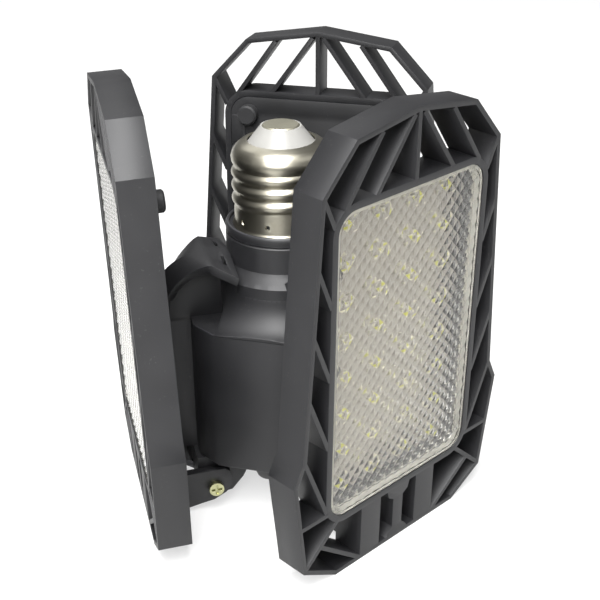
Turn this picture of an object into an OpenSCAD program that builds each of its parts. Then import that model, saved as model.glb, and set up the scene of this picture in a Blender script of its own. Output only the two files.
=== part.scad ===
// Folding garage lamp: three ribbed lamp panels on friction hinges round a screw-base driver body.
// The origin is the flat top of the centre contact, and +Z points up into the lamp holder.
// Panel 1 faces -Y; panels 2 and 3 follow at 120 degree steps, and the part is shown with its
// panels upright, as it is shipped.

/* [Screw base] */
// Radius of the flat centre contact
contact_r = 5; // [4.6:0.1:5.2]
// Height of the contact disc above its seat in the insulator
contact_h = 1.2; // [0.8:0.1:1.8]
// Radius of the contact's rivet stem
stem_r = 1.2; // [0.8:0.1:1.6]
// Radius of the insulator where it leaves the shell
insulator_r = 8.5; // [8:0.1:9]
// Height from the contact's top down to the shell's opening
insulator_h = 4.3; // [3.6:0.1:5]
// Radius over the shell's crests
shell_r = 13.1; // [12.9:0.05:13.2]
// Depth of the rolled thread
thread_depth = 0.85; // [0.6:0.05:1]
// Pitch of the rolled thread
thread_pitch = 3.63; // [3.4:0.01:3.7]
// Number of crests on the shell
crest_count = 4; // [3:1:4]
// Thickness of the shell's sheet metal
shell_wall = 0.45; // [0.3:0.05:0.6]
// Height of the shell's sloping shoulder
shoulder_h = 4.65; // [4:0.05:5.5]
// Height from the contact's top down to the shell's lip
base_h = 27.2; // [26.4:0.1:30]
// Height of the flared lip
lip_h = 1; // [0.6:0.1:1.5]

/* [Neck] */
// Outer radius of the neck and of the ring under the shell
neck_r = 15.4; // [14.8:0.1:16.5]
// Height of the ring under the shell
ring_h = 2.8; // [2:0.1:4]
// Height of the straight neck below the ring
neck_h = 7.3; // [5:0.1:9]
// Radius of the neck's foot
foot_r = 18; // [17:0.1:19]
// Height of the cone between the neck and its foot
foot_h = 3.4; // [2:0.1:5]
// Height of the straight foot above the cove
foot_wall_h = 3; // [2:0.1:4]
// Radius of the cove between the foot and the ledge
cove_r = 9; // [7:0.1:9.4]

/* [Driver body] */
// Height of the body's core, from its bottom to the ledge
core_h = 41.3; // [36:0.1:46]
// Distance of the core's faces behind the panels from the axis
face_r = 26.8; // [26:0.1:27.5]
// Half width of the faces behind the panels
face_half = 7.2; // [6.5:0.1:7.6]
// Distance of the crowned corner faces from the axis
slab_r = 23.5; // [22.8:0.1:24]
// Half width of the corner faces
slab_half = 13; // [12:0.1:13.6]
// How far a corner face falls back at its edges
slab_drop = 1.8; // [1:0.1:2]
// Wall of the driver body
body_wall = 2.2; // [1.6:0.1:2.6]
// Reach of the hoods from the axis
hood_r = 33.3; // [32.6:0.1:33.6]
// Distance of the hoods' side faces from the axis
hood_side_r = 19.8; // [19.4:0.1:20.2]
// Half thickness of the stop web under each hood
web_half = 2; // [1.5:0.1:3]
// Thickness of the bottom cover
cover_t = 2; // [1.6:0.1:2.6]

/* [Hinges] */
// Distance of the hinge axes from the lamp's axis
hinge_r = 23.6; // [23:0.1:24]
// Drop of the hinge axes below the body
hinge_drop = 8.7; // [8.2:0.1:9.5]
// Depth of the hinge axis behind the panel's front
hinge_depth = 20.1; // [19.8:0.1:20.6]
// Radius of the barrel round each hinge axis
barrel_r = 4.5; // [4.2:0.1:4.7]
// Half width of the barrel
barrel_half = 9.1; // [8.6:0.1:9.1]
// Thickness of a hinge arm
arm_t = 2.6; // [2.2:0.1:3]
// Gap between the barrel and each arm
arm_gap = 0.3; // [0.3:0.05:0.5]
// Radius of the hinge screws' smooth shank
pin_r = 1.5; // [1.3:0.05:1.7]
// Radial play of the shank in its bush
pin_play = 0.05; // [0.02:0.01:0.1]
// Wall of the hinge bushes
bush_wall = 0.8; // [0.6:0.1:1]
// Outward lean of the panels at rest
rest_tilt = 1.7; // [1:0.1:3]

/* [Panel cage] */
// Depth of the cage, from its front to its back
cage_depth = 9.1; // [8.4:0.1:9.6]
// Thickness of the rim
rim_t = 1.3; // [1:0.1:1.6]
// Thickness of the ribs
rib_t = 1.2; // [0.9:0.1:1.5]
// Height of the cage's peak above the hinge axis
peak_v = 117.1; // [114:0.1:120]
// Half width of the cage's top edge
top_half = 21.4; // [20:0.1:23]
// Fall of the top edge from the peak to its ends
peak_rise = 3.1; // [2.4:0.1:4]
// Half width of the cage at its upper corners
corner_half = 32.1; // [31.6:0.1:33]
// Height of the upper corners
corner_v = 102.6; // [101.6:0.1:104]
// Half width of the cage at its waist
waist_half = 36.8; // [36:0.1:37.5]
// Height of the waist
waist_v = 34.8; // [32:0.1:36]
// Half width of the cage over its ears
ear_half = 39.9; // [39:0.1:41]
// Height of the ears
ear_v = 28.8; // [26:0.1:30]
// Half width of the cage at its lower corners
heel_half = 36; // [35:0.1:37]
// Height of the lower corners
heel_v = 0.4; // [0:0.1:1.5]
// Half width of the cage's bottom edge
toe_half = 24; // [22:0.1:26]
// Drop of the bottom edge below the hinge axis
toe_drop = 6.4; // [6:0.1:6.8]
// Pitch of the side ribs along the rim
side_pitch = 16.8; // [15:0.1:16.9]

/* [Lamp tray] */
// Half width of the tray that holds the lamp
tray_half = 28.3; // [28:0.1:28.8]
// Height of the tray's lower edge above the hinge axis
tray_low = 10.2; // [9.8:0.1:11]
// Height of the tray's upper edge above the hinge axis
tray_high = 99; // [98:0.1:99.6]
// Radius of the tray's outer corners
tray_corner = 7.5; // [6.5:0.1:8]
// Wall of the tray
tray_wall = 1.8; // [1.4:0.1:2]
// Width of the ledge that carries the lens
ledge_w = 1.8; // [1.4:0.1:2]
// Thickness of the ledge
ledge_t = 1.2; // [1:0.1:1.6]
// Thickness of the prismatic lens
lens_t = 1.9; // [1.5:0.1:2.2]
// Thickness of the lens gasket
gasket_t = 0.6; // [0.4:0.1:0.8]
// Gap round the lens
lens_gap = 0.15; // [0.1:0.05:0.3]
// Thickness of the rear plate
plate_t = 1.5; // [1.2:0.1:1.8]
// Height of the raised strips along the rear plate's sides
strip_h = 0.6; // [0.4:0.1:0.8]
// Thickness of the lamp board
board_t = 1.2; // [1:0.1:1.6]
// Columns of lamp chips
chip_columns = 4; // [3:1:4]
// Rows of lamp chips
chip_rows = 8; // [6:1:8]
// Pitch of the columns
column_pitch = 12; // [9:0.1:12]
// Pitch of the rows
row_pitch = 10.5; // [8:0.1:10.6]
// Radius of the rubber bumpers behind each panel
bumper_r = 2.9; // [2.5:0.1:3.2]
// How far the bumpers stand out
bumper_h = 3; // [2:0.1:3.2]

/* [Fasteners and leads] */
// Radius of the cover and board screws' heads
head_r = 2.4; // [2.1:0.1:2.6]
// Radius of the cover and board screws' shanks
shank_r = 1.25; // [1:0.05:1.4]
// Radius of the hinge screws' heads
hinge_head_r = 2.9; // [2.6:0.1:3.1]
// Radius of a two-core lamp lead
lead_r = 0.9; // [0.7:0.05:1]
// Thickness of the driver board
driver_board_t = 1.6; // [1.2:0.1:2]

/* [Hidden] */
$fn = 64;
eps = 0.01;
plastic = "#3a3a3d";

// Levels of the base and the body, down from the contact's top
lip_top = -base_h + lip_h;
ring_low = lip_top - ring_h;
neck_low = ring_low - neck_h;
foot_top = neck_low - foot_h;
cove_top = foot_top - foot_wall_h;
ledge_z = cove_top - cove_r;
core_low = ledge_z - core_h;
hinge_z = core_low - hinge_drop;
cavity_top = ledge_z - body_wall;
cavity_low = core_low + cover_t;

// Levels and radii inside the screw base
first_crest = -insulator_h - shoulder_h;
last_valley = first_crest - (crest_count - 0.5) * thread_pitch;
valley_r = shell_r - thread_depth;
skirt_r = valley_r + 0.25;
spigot_r = valley_r - shell_wall - 0.1;
spigot_wall = 2.2;
groove = 0.4;
spigot_top = first_crest - 5;
insulator_low = first_crest - 0.5;

// Places inside the driver body
edge_r = slab_r - slab_drop;
crown_r = norm([edge_r, slab_half]);
block_r = hinge_r - barrel_r - 0.6;
block_h = 7;
cover_gap = 0.15;
boss_r = 3.6;
boss_at = edge_r - body_wall - boss_r + 0.3;
boss_h = 11;
board_z = cavity_top - 8;
post_r = 2.4;
post_at = 16;
driver_board_r = edge_r - body_wall - 0.5;
head_h = 1.2;
channel_r = lead_r + 0.4;

// Places across a panel: depths are measured back from its front
lens_face = 0.3;
gasket_y = lens_face + lens_t;
ledge_y = gasket_y + gasket_t;
plate_y = cage_depth - plate_t;
lamp_board_y = plate_y - board_t;
opening_half = tray_half - tray_wall;
opening_low = tray_low + tray_wall;
opening_high = tray_high - tray_wall;
opening_corner = tray_corner - tray_wall;
well_half = opening_half - ledge_w;
well_low = opening_low + ledge_w;
well_high = opening_high - ledge_w;
well_corner = opening_corner - ledge_w;
tray_mid = (tray_low + tray_high) / 2;
arm_in = barrel_half + arm_gap;
arm_out = arm_in + arm_t;
bush_r = pin_r + pin_play + bush_wall;
bush_l = 4.5;
chamber_half = barrel_half - bush_l;
bumper_u = well_half - bumper_r - 1;
bumper_v = well_high - bumper_r - 0.4;
plate_seat = 0.8;
screw_u = well_half;
screw_rows = [well_low + 16, tray_mid, well_high - 14];
screw_boss_r = 1.9;
plate_shank_r = 0.8;
plate_head_r = 1.5;
plate_head_y = cage_depth + strip_h - 0.9;
gland_u = -4.7;
gland_y = 5;
gland_r = 1.9;
gland_l = 4.6;

// The point at radius r and offset s in the frame that faces azimuth a
function face_point(a, r, s) = [r * sin(a) + s * cos(a), s * sin(a) - r * cos(a)];

// The points of a closed outline, moved inwards by d; the outline runs anticlockwise
function edge_normal(p, q) = [p[1] - q[1], q[0] - p[0]] / norm(q - p);
function inset_corner(p, q, r, d) =
  let (a = edge_normal(p, q), b = edge_normal(q, r)) q + d * (a + b) / (1 + a * b);
function inset(pts, d) =
  let (n = len(pts)) [for (i = [0:n - 1]) inset_corner(pts[(i + n - 1) % n], pts[i], pts[(i + 1) % n], d)];

// A half outline, listed upwards on the +u side, closed with its mirror image
function mirrored(half) =
  let (n = len(half)) concat(half, [for (i = [n - 1:-1:0]) if (half[i][0] > 0) [-half[i][0], half[i][1]]]);

cage_outline = mirrored([
  [toe_half, -toe_drop],
  [heel_half, heel_v],
  [ear_half, ear_v],
  [waist_half, waist_v],
  [corner_half, corner_v],
  [top_half, peak_v - peak_rise],
  [0, peak_v]
]);

core_outline = [
  for (k = [0:2])
    for (p = [
      face_point(120 * k, face_r, -face_half),
      face_point(120 * k, face_r, face_half),
      face_point(120 * k + 60, edge_r, -slab_half),
      face_point(120 * k + 60, edge_r, slab_half)
    ]) p
];

// Half width of the rim at height v, between the waist and the upper corners
function rim_half(v) = corner_half + (corner_v - v) * (waist_half - corner_half) / (corner_v - waist_v);

// Children of a panel are drawn with X across it, Z up from the hinge axis and Y back from its front
module on_panel(k) {
  rotate([0, 0, 120 * k])
    translate([0, -hinge_r, hinge_z])
      rotate([rest_tilt, 0, 0])
        translate([0, -hinge_depth, 0])
          children();
}

// Children of a side are drawn in the frame that faces azimuth a, outwards along -Y
module facing(a) {
  rotate([0, 0, a])
    children();
}

// A flat shape of the panel as a solid between two depths
module between(y0, y1) {
  translate([0, y1, 0])
    rotate([90, 0, 0])
      linear_extrude(y1 - y0)
        children();
}

// A shape drawn in (depth, height), as a solid between two offsets across the panel
module across(u0, u1) {
  translate([u0, 0, 0])
    rotate([90, 0, 90])
      linear_extrude(u1 - u0)
        children();
}

module rounded_window(half, low, high, r) {
  translate([-half + r, low])
    square([2 * (half - r), high - low]);
  translate([-half, low + r])
    square([2 * half, high - low - 2 * r]);
  for (u = [-half + r, half - r], v = [low + r, high - r])
    translate([u, v])
      circle(r);
}

// A rib of the cage between two points, run on a little into what it joins
module rib(a, b) {
  run_on = 0.7;
  d = b - a;
  translate(a)
    rotate(atan2(d[1], d[0]))
      translate([-run_on, -rib_t / 2])
        square([norm(d) + 2 * run_on, rib_t]);
}

// A thin lead along its route, with 8 sides
module lead(route, r) {
  sides = 8;
  n = len(route);
  rings = [
    for (i = [0:n - 1])
      let (
        t = route[min(i + 1, n - 1)] - route[max(i - 1, 0)],
        z = t / norm(t),
        side = abs(z[0]) < 0.9 ? [1, 0, 0] : [0, 1, 0],
        x = cross(z, side) / norm(cross(z, side)),
        y = cross(z, x)
      )
        for (j = [0:sides - 1]) route[i] + r * (cos(360 * j / sides) * x + sin(360 * j / sides) * y)
  ];
  walls = [
    for (i = [0:n - 2], j = [0:sides - 1])
      let (a = i * sides + j, b = i * sides + (j + 1) % sides)
        for (f = [[a, a + sides, b], [b, a + sides, b + sides]]) f
  ];
  first_cap = [for (j = [0:sides - 1]) j];
  last_cap = [for (j = [sides - 1:-1:0]) (n - 1) * sides + j];
  polyhedron(rings, concat(walls, [first_cap, last_cap]));
}

// ---- Screw base ----

module contact_tip() {
  color("silver")
    rotate_extrude()
      polygon([
        [0, 0],
        [contact_r - 0.4, 0],
        [contact_r, -0.4],
        [contact_r, -contact_h],
        [stem_r, -contact_h],
        [stem_r, insulator_low - 1],
        [0, insulator_low - 1]
      ]);
}

// Inner radius of the shell's shoulder at height z
function shoulder_in(z) =
  insulator_r + (-insulator_h - z) * (shell_r - shell_wall - insulator_r) / shoulder_h;

module base_insulator() {
  cone_top = -0.3;
  color("ghostwhite")
    rotate_extrude()
      polygon([
        [stem_r, -contact_h],
        [contact_r, -contact_h],
        [contact_r, cone_top],
        [contact_r + 0.4, cone_top],
        [insulator_r, -insulator_h],
        [shoulder_in(first_crest + 0.6), first_crest + 0.6],
        [shoulder_in(first_crest + 0.6), insulator_low],
        [stem_r, insulator_low]
      ]);
}

// The rolled thread is drawn as level rounded rings: r falls from a crest to a valley and back
function thread_r(z) = valley_r + thread_depth * (0.5 + 0.5 * cos(360 * (z - first_crest) / thread_pitch));

module screw_shell() {
  steps = 8 * crest_count - 4;
  thread_zs = [for (i = [0:steps]) first_crest - i * thread_pitch / 8];
  outside = concat(
    [[insulator_r + shell_wall, -insulator_h]],
    [for (z = thread_zs) [thread_r(z), z]],
    [
      [skirt_r, last_valley - 0.8],
      [skirt_r, lip_top],
      [skirt_r + 0.6, -base_h]
    ]
  );
  n = len(outside);
  inside = [for (i = [n - 1:-1:0]) [outside[i][0] - shell_wall, outside[i][1]]];
  color("gainsboro")
    rotate_extrude()
      polygon(concat(outside, inside));
}

module neck_ring() {
  chamfer = 0.8;
  recess_r = neck_r - 1.1;
  color(plastic)
    rotate_extrude()
      polygon([
        [spigot_r, ring_low],
        [neck_r - groove, ring_low],
        [neck_r, ring_low + groove],
        [neck_r, lip_top - chamfer],
        [neck_r - chamfer / 2, lip_top],
        [recess_r, lip_top],
        [recess_r, -base_h],
        [spigot_r, -base_h]
      ]);
}

// ---- Driver body ----

module core_solid() {
  translate([0, 0, core_low])
    linear_extrude(core_h)
      polygon(core_outline);
  for (k = [0:2])
    facing(120 * k + 60)
      intersection() {
        translate([-slab_half, -slab_r, core_low])
          cube([2 * slab_half, slab_r, core_h]);
        translate([0, 0, core_low])
          cylinder(h = core_h, r = crown_r);
      }
}

// The neck, its foot and the cove that runs out over the ledge
module neck_solid() {
  steps = 12;
  cove = [for (i = [0:steps]) let (t = 90 * i / steps) [foot_r + cove_r * (1 - cos(t)), cove_top - cove_r * sin(t)]];
  intersection() {
    rotate_extrude()
      polygon(concat(
        [[0, ledge_z - 1], [0, ring_low], [neck_r - groove, ring_low], [neck_r, ring_low - groove]],
        [[neck_r, neck_low], [foot_r, foot_top]],
        cove,
        [[foot_r + cove_r, ledge_z - 1]]
      ));
    translate([0, 0, ledge_z - 1])
      linear_extrude(ring_low - ledge_z + 1)
        polygon(core_outline);
  }
}

// One slice of a hood at radius r: a roof with its ridge at the middle and its eaves on the side faces
module hood_slice(r, ridge, eave, low) {
  half = (hood_side_r - r / 2) / cos(30);
  translate([0, -r + eps, 0])
    rotate([90, 0, 0])
      linear_extrude(eps)
        polygon([[-half, low], [half, low], [half, eave], [0, ridge], [-half, eave]]);
}

module hood() {
  top = neck_low + 2.4;
  low = ledge_z + 2;
  hull() {
    hood_slice(15.2, top, top - 2.6, low);
    hood_slice(18.6, top, top - 0.3, low);
    hood_slice(25, top - 0.7, top - 1.7, low);
    hood_slice(28, top - 1.4, top - 4.3, low);
    hood_slice(hood_r, top - 4.4, top - 11.2, low + 2);
  }
}

// The web under a hood, which stops the panel when it is folded upright
module web() {
  translate([-web_half, -hood_r + 0.8, core_low])
    cube([2 * web_half, hood_r - face_r, ledge_z + 4 - core_low]);
}

// The barrel hangs from the body by a solid root, which widens upwards
module hinge_lug() {
  root_half = face_r - hinge_r + 1.2;
  translate([0, -hinge_r, hinge_z])
    across(-barrel_half, barrel_half) {
      circle(barrel_r);
      polygon([[-root_half, hinge_drop], [-barrel_r, 0], [barrel_r, 0], [root_half, hinge_drop]]);
    }
}

// What the lug leaves open: the bush seats, the lead's chamber, its way in and its slot
module lug_openings() {
  slot_half = lead_r + 1;
  translate([0, -hinge_r, hinge_z]) {
    rotate([0, 90, 0])
      cylinder(h = 2 * barrel_half + 2, r = bush_r, center = true);
    cylinder(h = hinge_drop + block_h + 2, r = channel_r);
    across(-slot_half, slot_half)
      polygon([[0, 1.6], [-2 * barrel_r, 2.6], [-2 * barrel_r, -2 * barrel_r], [1.4, -2 * barrel_r], [1.4, 0]]);
  }
}

module cavity() {
  inner = inset(core_outline, body_wall);
  translate([0, 0, core_low + block_h])
    linear_extrude(cavity_top - core_low - block_h)
      polygon(inner);
  intersection() {
    translate([0, 0, core_low - 1])
      linear_extrude(block_h + 2)
        polygon(inner);
    for_cover(block_r, core_low - 1, block_h + 2);
  }
  translate([0, 0, cavity_top - 1])
    cylinder(h = neck_low - cavity_top - 1, r = foot_r - 5);
  translate([0, 0, cavity_top])
    cylinder(h = spigot_top - cavity_top + 1, r = spigot_r - spigot_wall);
}

// A three-sided block whose sides stay r from the axis behind the panels
module for_cover(r, z, h) {
  far = 3 * slab_r;
  translate([0, 0, z])
    linear_extrude(h)
      intersection_for(k = [0:2])
        rotate(120 * k)
          translate([-far, -r])
            square([2 * far, 2 * far]);
}

module body_housing() {
  color(plastic) {
    difference() {
      union() {
        core_solid();
        neck_solid();
        for (k = [0:2])
          facing(120 * k) {
            hood();
            web();
            hinge_lug();
          }
        translate([0, 0, ledge_z])
          cylinder(h = spigot_top - ledge_z, r = spigot_r);
      }
      cavity();
      for (k = [0:2])
        facing(120 * k)
          lug_openings();
    }
    for (k = [0:2])
      screw_pillar(120 * k + 60, boss_at, boss_r, cavity_low, boss_h, cavity_low - 1, 9);
    for (k = [0:2])
      screw_pillar(120 * k, post_at, post_r, board_z, cavity_top - board_z + 0.5, board_z - 1, 7);
  }
}

// A round pillar with a blind hole for a screw
module screw_pillar(a, at, r, z, h, hole_z, hole_h) {
  facing(a)
    translate([0, -at, 0])
      difference() {
        translate([0, 0, z])
          cylinder(h = h, r = r);
        translate([0, 0, hole_z])
          cylinder(h = hole_h, r = shank_r);
      }
}

module bottom_cover() {
  color(plastic)
    difference() {
      intersection() {
        translate([0, 0, core_low])
          linear_extrude(cover_t)
            polygon(inset(core_outline, body_wall + cover_gap));
        for_cover(block_r - cover_gap, core_low, cover_t);
      }
      for (k = [0:2])
        facing(120 * k + 60)
          translate([0, -boss_at, core_low - 1]) {
            cylinder(h = cover_t + 2, r = shank_r);
            cylinder(h = head_h + 1, r = head_r + cover_gap);
          }
    }
}

// A small screw with its head down at height z
module small_screw(z, length) {
  translate([0, 0, z])
    cylinder(h = head_h, r = head_r);
  translate([0, 0, z])
    cylinder(h = length, r = shank_r);
}

module cover_screws() {
  color("goldenrod")
    for (k = [0:2])
      facing(120 * k + 60)
        translate([0, -boss_at, 0])
          small_screw(core_low, 8);
}

// ---- Driver ----

module driver_board() {
  color("darkgreen")
    translate([0, 0, board_z - driver_board_t])
      difference() {
        cylinder(h = driver_board_t, r = driver_board_r);
        for (k = [0:2])
          facing(120 * k)
            translate([0, -post_at, -1])
              cylinder(h = driver_board_t + 2, r = shank_r);
      }
}

module board_screws() {
  color("silver")
    for (k = [0:2])
      facing(120 * k)
        translate([0, -post_at, 0])
          small_screw(board_z - driver_board_t - head_h, head_h + driver_board_t + 5);
}

// Driver pieces hang under the board, because it is fixed to the body's ceiling
module under_board(x, y) {
  translate([x, y, board_z - driver_board_t])
    mirror([0, 0, 1])
      children();
}

module driver_transformer() {
  core_l = 13;
  core_w = 6;
  core_t = 11;
  color("dimgray")
    under_board(-3, 1) {
      translate([-core_l / 2, -core_w / 2, 0])
        cube([core_l, core_w, core_t]);
      translate([0, 0, core_t / 2])
        rotate([0, 90, 0])
          cylinder(h = core_l - 4, r = core_t / 2, center = true);
      translate([-core_l / 2, -core_w, 0])
        cube([core_l, 2 * core_w, 2]);
    }
}

module driver_capacitors() {
  can_r = 4;
  can_l = 14;
  color("midnightblue")
    for (at = [[12, -3.5], [4.5, -9.5]])
      under_board(at[0], at[1]) {
        cylinder(h = can_l, r = can_r);
        translate([0, 0, 1])
          cylinder(h = 0.8, r = can_r + 0.2);
      }
}

module driver_rectifier() {
  color("black")
    under_board(-13.5, -5) {
      translate([-2, -4, 0])
        cube([4, 8, 7]);
    }
}

module tip_lead() {
  color("firebrick")
    lead([
      [2, -3, board_z],
      [2, -3, board_z + 4],
      [3, -2, cavity_top + 8],
      [2, 0, foot_top],
      [1, 1, ring_low],
      [0.4, 0.4, spigot_top - 2],
      [0, 0, insulator_low - 2],
      [0, 0, insulator_low - 1]
    ], 0.7);
}

// The shell's lead folds over the spigot's mouth and is pinched against the shell
module shell_lead() {
  r = 0.5;
  reach = spigot_r - r;
  color("black")
    lead([
      [-3, 3, board_z],
      [-3, 3, board_z + 4],
      [-4, 3, cavity_top + 8],
      [-5, 2, foot_top],
      [-6, 0, ring_low],
      [-spigot_r + spigot_wall + 2, 0, spigot_top - 3],
      [-spigot_r + spigot_wall + 1, 0, spigot_top],
      [-reach + 1, 0, spigot_top + r + 0.5],
      [-reach, 0, spigot_top + r + 0.4],
      [-valley_r + shell_wall + 0.1, 0, spigot_top + r + 0.3]
    ], r);
}

module driver_leads() {
  color("dimgray")
    for (k = [0:2])
      facing(120 * k)
        lead([
          [4, -14, board_z],
          [4, -14, board_z + 2.5],
          [4, -17, board_z + 3.6],
          [3.6, -20.6, board_z + 2.5],
          [3, -22.3, board_z - 2],
          [2, -23.2, board_z - 8],
          [0, -hinge_r, core_low + block_h + 4],
          [0, -hinge_r, core_low],
          [0, -hinge_r, hinge_z + lead_r + 0.5]
        ], lead_r);
}

module hinge_bushes() {
  color("goldenrod")
    for (k = [0:2])
      facing(120 * k)
        translate([0, -hinge_r, hinge_z])
          for (side = [0, 1])
            mirror([side, 0, 0])
              translate([chamber_half, 0, 0])
                rotate([0, 90, 0])
                  difference() {
                    cylinder(h = bush_l, r = bush_r);
                    translate([0, 0, -1])
                      cylinder(h = bush_l + 2, r = pin_r + pin_play);
                  }
}

// ---- Lamp panels ----

// The ribs of one half of the cage, drawn on the +u side
module half_ribs() {
  lower_corner = [tray_half - 1, tray_low + 4.6];
  // slanted ribs from the top edge down to the tray
  rib([2, peak_v - 2.3], [13.6, tray_high]);
  rib([13, peak_v - 3.8], [23.8, tray_high - 0.6]);
  rib([corner_half - 0.6, corner_v], [tray_half - 0.4, tray_high - 4]);
  // side ribs, all at one slant
  slant = 2.35;
  for (v = [waist_v:side_pitch:corner_v - 8])
    rib([rim_half(v) - 0.6, v], [tray_half, v - slant * (rim_half(v) - 0.6 - tray_half)]);
  // the fan of ribs at the lower corner
  rib([ear_half - 2, 14.8], lower_corner);
  rib([heel_half - 0.6, heel_v + 0.6], [24.4, tray_low + 0.6]);
  rib([29.4, 5.5], [15, -toe_drop + 0.8]);
}

module cage_plan() {
  intersection() {
    polygon(inset(cage_outline, rim_t / 2));
    union() {
      for (side = [0, 1])
        mirror([side, 0])
          half_ribs();
      rib([0, peak_v - 1], [0, tray_high - 0.5]);
    }
  }
}

// The three posts under the tray: the outer two carry the hinge arms
module posts_plan() {
  outer_in = 7.2;
  outer_out = 14.7;
  for (side = [0, 1])
    mirror([side, 0]) {
      translate([outer_in, -toe_drop + 0.5])
        square([outer_out - outer_in, tray_low + toe_drop]);
      // the middle post flares where it meets the tray and the rim
      polygon([
        [0, -toe_drop + 0.5],
        [5, -toe_drop + 0.5],
        [3.4, -toe_drop + 2.6],
        [1.9, -toe_drop + 4],
        [1.9, tray_low - 3.4],
        [3.8, tray_low - 2.2],
        [4.6, tray_low + 0.5],
        [0, tray_low + 0.5]
      ]);
    }
}

module hinge_arm() {
  y = hinge_depth;
  difference() {
    across(arm_in, arm_out)
      polygon([
        [cage_depth - 2, -toe_drop + 0.6],
        [y - 7.9, -5.3],
        [y - 4.4, -4.6],
        [y - 0.7, -4],
        [y + 2.8, -2.2],
        [y + 4.6, -0.4],
        [y + 4.9, 2],
        [y + 4.4, 4.6],
        [y + 3, 5.7],
        [cage_depth - 2, 5.7]
      ]);
    translate([0, y, 0])
      rotate([0, 90, 0])
        cylinder(h = arm_out + 1, r = pin_r);
  }
}

// The places of the rear plate's screws
module at_plate_screws() {
  for (side = [-1, 1], v = screw_rows)
    translate([side * screw_u, v])
      children();
}

module panel_frame(k) {
  color(plastic)
    on_panel(k)
      difference() {
        union() {
          between(0, cage_depth)
            difference() {
              polygon(cage_outline);
              polygon(inset(cage_outline, rim_t));
            }
          between(0, cage_depth)
            cage_plan();
          between(0, cage_depth)
            posts_plan();
          between(0, cage_depth)
            rounded_window(tray_half, tray_low, tray_high, tray_corner);
          for (side = [0, 1])
            mirror([side, 0, 0])
              hinge_arm();
        }
        // the lens seat, the well behind it, the pocket behind the ledge and the plate's rebate
        between(-1, ledge_y)
          rounded_window(opening_half, opening_low, opening_high, opening_corner);
        between(0, plate_y)
          difference() {
            rounded_window(well_half, well_low, well_high, well_corner);
            at_plate_screws()
              circle(screw_boss_r);
          }
        between(ledge_y + ledge_t, plate_y)
          difference() {
            rounded_window(opening_half - plate_seat, opening_low + plate_seat, opening_high - plate_seat,
              opening_corner - plate_seat);
            at_plate_screws()
              circle(screw_boss_r);
          }
        between(plate_y, cage_depth + 1)
          rounded_window(opening_half, opening_low, opening_high, opening_corner);
        // the plate screws' holes, the gland's seat and the lead's way through the lower wall
        between(plate_y - 3, plate_y + 1)
          at_plate_screws()
            circle(plate_shank_r);
        translate([gland_u, gland_y, tray_low - gland_l])
          cylinder(h = gland_l, r = gland_r);
        translate([gland_u, gland_y, tray_low - 1])
          cylinder(h = 8, r = channel_r);
      }
}

module lens(k) {
  color("lightgray")
    on_panel(k)
      between(lens_face, gasket_y)
        rounded_window(opening_half - lens_gap, opening_low + lens_gap, opening_high - lens_gap,
          opening_corner - lens_gap);
}

module lens_gasket(k) {
  color("white")
    on_panel(k)
      between(gasket_y, ledge_y)
        difference() {
          rounded_window(opening_half - lens_gap, opening_low + lens_gap, opening_high - lens_gap,
            opening_corner - lens_gap);
          rounded_window(well_half, well_low, well_high, well_corner);
        }
}

module led_board(k) {
  margin = 0.6;
  color("whitesmoke")
    on_panel(k)
      between(lamp_board_y, plate_y)
        difference() {
          rounded_window(well_half - margin, well_low + margin, well_high - margin, well_corner);
          at_plate_screws()
            circle(screw_boss_r + 0.3);
        }
}

module led_chips(k) {
  chip_w = 3.5;
  chip_h = 2.8;
  chip_t = 0.8;
  color("khaki")
    on_panel(k)
      for (i = [0:chip_columns - 1], j = [0:chip_rows - 1])
        translate([
          (i - (chip_columns - 1) / 2) * column_pitch,
          lamp_board_y - chip_t,
          tray_mid + (j - (chip_rows - 1) / 2) * row_pitch
        ])
          difference() {
            translate([-chip_w / 2, 0, -chip_h / 2])
              cube([chip_w, chip_t, chip_h]);
            rotate([90, 0, 0])
              translate([0, 0, -0.2])
                cylinder(h = 1, r = 1.1);
          }
}

module rear_plate(k) {
  strip_in = well_half - 2.6;
  strip_out = opening_half - 0.4;
  color("dimgray")
    on_panel(k)
      difference() {
        union() {
          between(plate_y, cage_depth)
            rounded_window(opening_half - lens_gap, opening_low + lens_gap, opening_high - lens_gap,
              opening_corner - lens_gap);
          between(cage_depth - eps, cage_depth + strip_h)
            for (side = [0, 1])
              mirror([side, 0])
                translate([strip_in, well_low + 4])
                  square([strip_out - strip_in, well_high - well_low - 8]);
        }
        // the bumpers' holes and the room for their feet, then the screws' holes and head seats
        between(plate_y - 1, cage_depth + 1)
          at_bumpers()
            circle(bumper_r / 2);
        between(cage_depth, cage_depth + strip_h + 1)
          at_bumpers()
            circle(bumper_r + 0.2);
        between(plate_y - 1, cage_depth + 1)
          at_plate_screws()
            circle(plate_shank_r);
        between(plate_head_y, cage_depth + strip_h + 1)
          at_plate_screws()
            circle(plate_head_r + 0.1);
      }
}

module rear_screws(k) {
  color("silver")
    on_panel(k) {
      between(plate_head_y, cage_depth + strip_h - 0.1)
        at_plate_screws()
          circle(plate_head_r);
      between(plate_y - 2.5, plate_head_y)
        at_plate_screws()
          circle(plate_shank_r);
    }
}

// The places of the bumpers
module at_bumpers() {
  for (side = [-1, 1])
    translate([side * bumper_u, bumper_v])
      children();
}

module bumpers(k) {
  rounding = 0.5;
  color("black")
    on_panel(k)
      for (side = [-1, 1])
        translate([side * bumper_u, 0, bumper_v])
          rotate([-90, 0, 0])
            rotate_extrude()
              polygon([
                [0, plate_y],
                [bumper_r / 2, plate_y],
                [bumper_r / 2, cage_depth],
                [bumper_r, cage_depth],
                [bumper_r, cage_depth + bumper_h - rounding],
                [bumper_r - rounding, cage_depth + bumper_h],
                [0, cage_depth + bumper_h]
              ]);
}

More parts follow.
